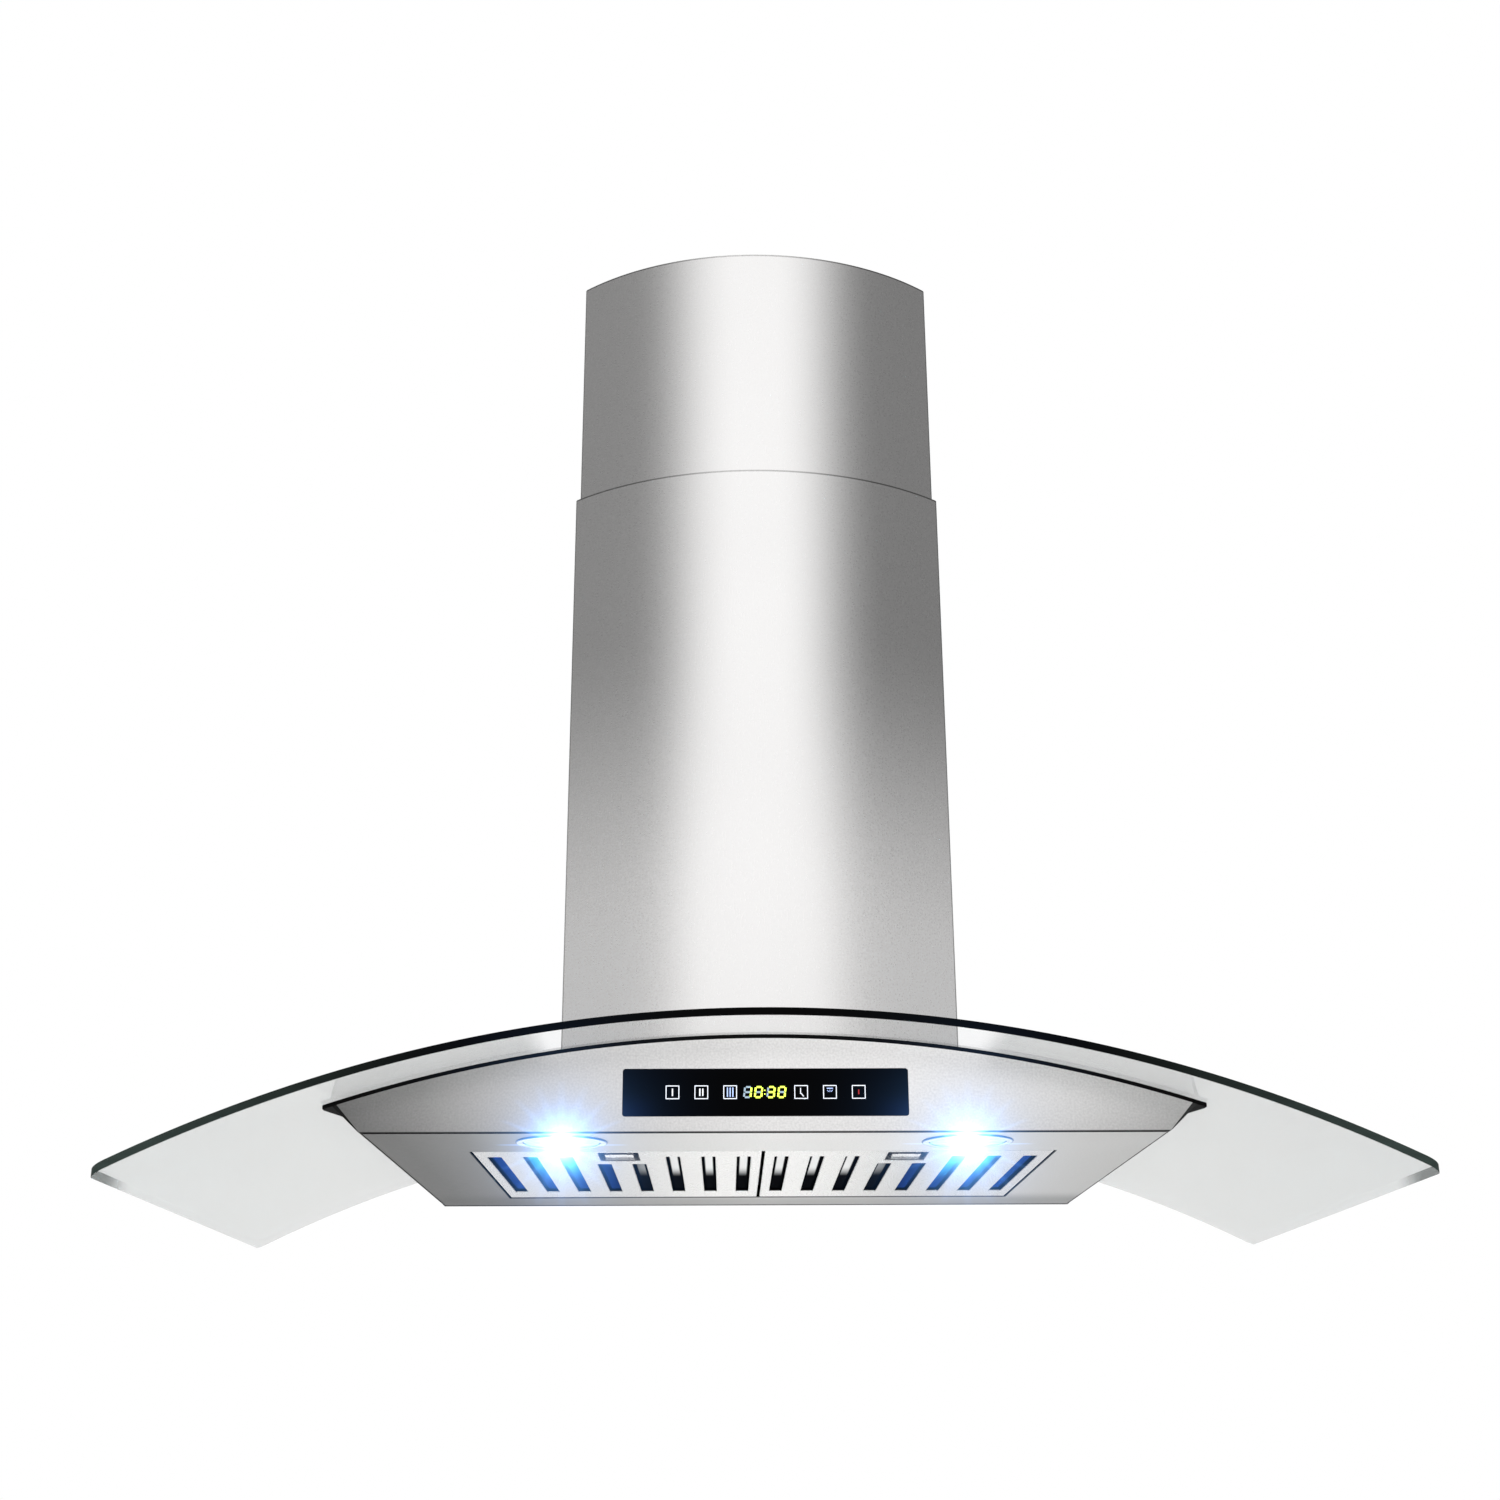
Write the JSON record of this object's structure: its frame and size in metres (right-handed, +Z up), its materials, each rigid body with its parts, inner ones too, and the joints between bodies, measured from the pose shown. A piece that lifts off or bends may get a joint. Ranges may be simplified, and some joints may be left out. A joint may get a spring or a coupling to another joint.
{
  "type": "wall-mounted range hood",
  "caption": "Wall range hood: curved glass canopy on a slim steel body with touch controls, lamps and hinged baffle filters, under a bow-fronted telescopic chimney.",
  "frame": {"origin": "on the wall, on the hood's centre line, level with the flat underside of the body", "axes": "+X to the right as seen from the front, +Y into the wall, +Z up"},
  "size_m": [0.9, 0.5, 0.862],
  "materials": {
    "canopy_glass": "clear tempered float glass, polished edge",
    "gasket": "black sponge rubber",
    "bolt_metal": "polished",
    "washer_rubber": "black rubber",
    "body_steel": "fine brushed stainless steel",
    "chimney_steel": "vertically brushed stainless steel",
    "felt": "self-adhesive felt",
    "zinc_steel": "zinc-plated sheet",
    "screw_metal": "bright zinc",
    "blower_plastic": "moulded plastic",
    "wheel_plastic": "moulded plastic",
    "motor_metal": "cast and pressed shell",
    "shaft_steel": "ground",
    "collar_plastic": "moulded plastic",
    "flap_plastic": "moulded plastic",
    "control_glass": "black printed glass",
    "housing_plastic": "black moulded plastic",
    "board": "circuit board",
    "display": "lit display block",
    "touch_spring": "conductive foam",
    "filter_steel": "bright stainless steel",
    "latch_metal": "bright stainless steel",
    "bezel_metal": "satin chrome",
    "lamp_lens": "frosted lens",
    "lamp_can": "die-cast",
    "box_plastic": "white moulded plastic",
    "capacitor": "sleeve",
    "terminal": "moulded",
    "gland": "moulded"
  },
  "bodies": {
    "root": {"glass_canopy": "canopy_glass", "glass_gasket": "gasket", "glass_bolts": "bolt_metal", "glass_washers": "washer_rubber", "glass_nuts": "screw_metal", "front_panel": "body_steel", "underside_panel": "body_steel", "back_panel": "zinc_steel", "top_deck": "body_steel", "lower_chimney": "chimney_steel", "chimney_slide_pads": "felt", "chimney_tabs": "zinc_steel", "lower_chimney_screws": "screw_metal", "blower_box": "zinc_steel", "volute_front": "blower_plastic", "volute_rear": "blower_plastic", "motor": "motor_metal", "motor_bracket": "zinc_steel", "duct_collar": "collar_plastic", "damper_rod": "shaft_steel", "control_glass": "control_glass", "control_housing": "housing_plastic", "control_board": "board", "display_module": "display", "touch_pads": "touch_spring", "electronics_box": "box_plastic", "electronics_cover": "box_plastic", "power_board": "board", "capacitor": "capacitor", "terminal_block": "terminal", "cable_gland": "gland", "lamp_driver": "box_plastic", "lamp_bezel_left": "bezel_metal", "lamp_lens_left": "lamp_lens", "lamp_can_left": "lamp_can", "lamp_board_left": "board", "lamp_bezel_right": "bezel_metal", "lamp_lens_right": "lamp_lens", "lamp_can_right": "lamp_can", "lamp_board_right": "board"},
    "upper_cover": {"upper_chimney": "chimney_steel", "upper_bracket": "zinc_steel", "upper_chimney_screws": "screw_metal"},
    "fan_wheel": {"impeller": "wheel_plastic", "motor_shaft": "shaft_steel"},
    "filter_left": {"filter_left_tray": "filter_steel", "filter_left_baffles": "filter_steel", "latch_spring_left": "shaft_steel"},
    "latch_plate_left": {"latch_left": "latch_metal"},
    "flap_left": {"damper_left": "flap_plastic"},
    "filter_right": {"filter_right_tray": "filter_steel", "filter_right_baffles": "filter_steel", "latch_spring_right": "shaft_steel"},
    "latch_plate_right": {"latch_right": "latch_metal"},
    "flap_right": {"damper_right": "flap_plastic"}
  },
  "joints": [
    {"name": "upper_cover_slide", "type": "slide", "parent": "root", "child": "upper_cover", "axis": [0, 0, 1], "range_m": [-0.215, 0.2]},
    {"name": "fan_spin", "type": "hinge", "parent": "root", "child": "fan_wheel", "pos_m": [0.018, -0.1045, 0.186], "axis": [0, 1, 0], "continuous": true},
    {"name": "filter_left_hinge", "type": "hinge", "parent": "root", "child": "filter_left", "pos_m": [-0.10885, -0.063, 0.003], "axis": [1, 0, 0], "range_deg": [0, 75]},
    {"name": "latch_left_slide", "type": "slide", "parent": "filter_left", "child": "latch_plate_left", "axis": [0, 1, 0], "range_m": [0, 0.008], "stiffness_N_per_m": 300, "springref_m": -0.008, "deforming": ["latch_spring_left"]},
    {"name": "flap_left_hinge", "type": "hinge", "parent": "root", "child": "flap_left", "pos_m": [0, -0.1045, 0.34395], "axis": [0, 1, 0], "range_deg": [0, 80]},
    {"name": "filter_right_hinge", "type": "hinge", "parent": "root", "child": "filter_right", "pos_m": [0.10885, -0.063, 0.003], "axis": [1, 0, 0], "range_deg": [0, 75]},
    {"name": "latch_right_slide", "type": "slide", "parent": "filter_right", "child": "latch_plate_right", "axis": [0, 1, 0], "range_m": [0, 0.008], "stiffness_N_per_m": 300, "springref_m": -0.008, "deforming": ["latch_spring_right"]},
    {"name": "flap_right_hinge", "type": "hinge", "parent": "root", "child": "flap_right", "pos_m": [0, -0.1045, 0.34395], "axis": [0, -1, 0], "range_deg": [0, 80]}
  ]
}
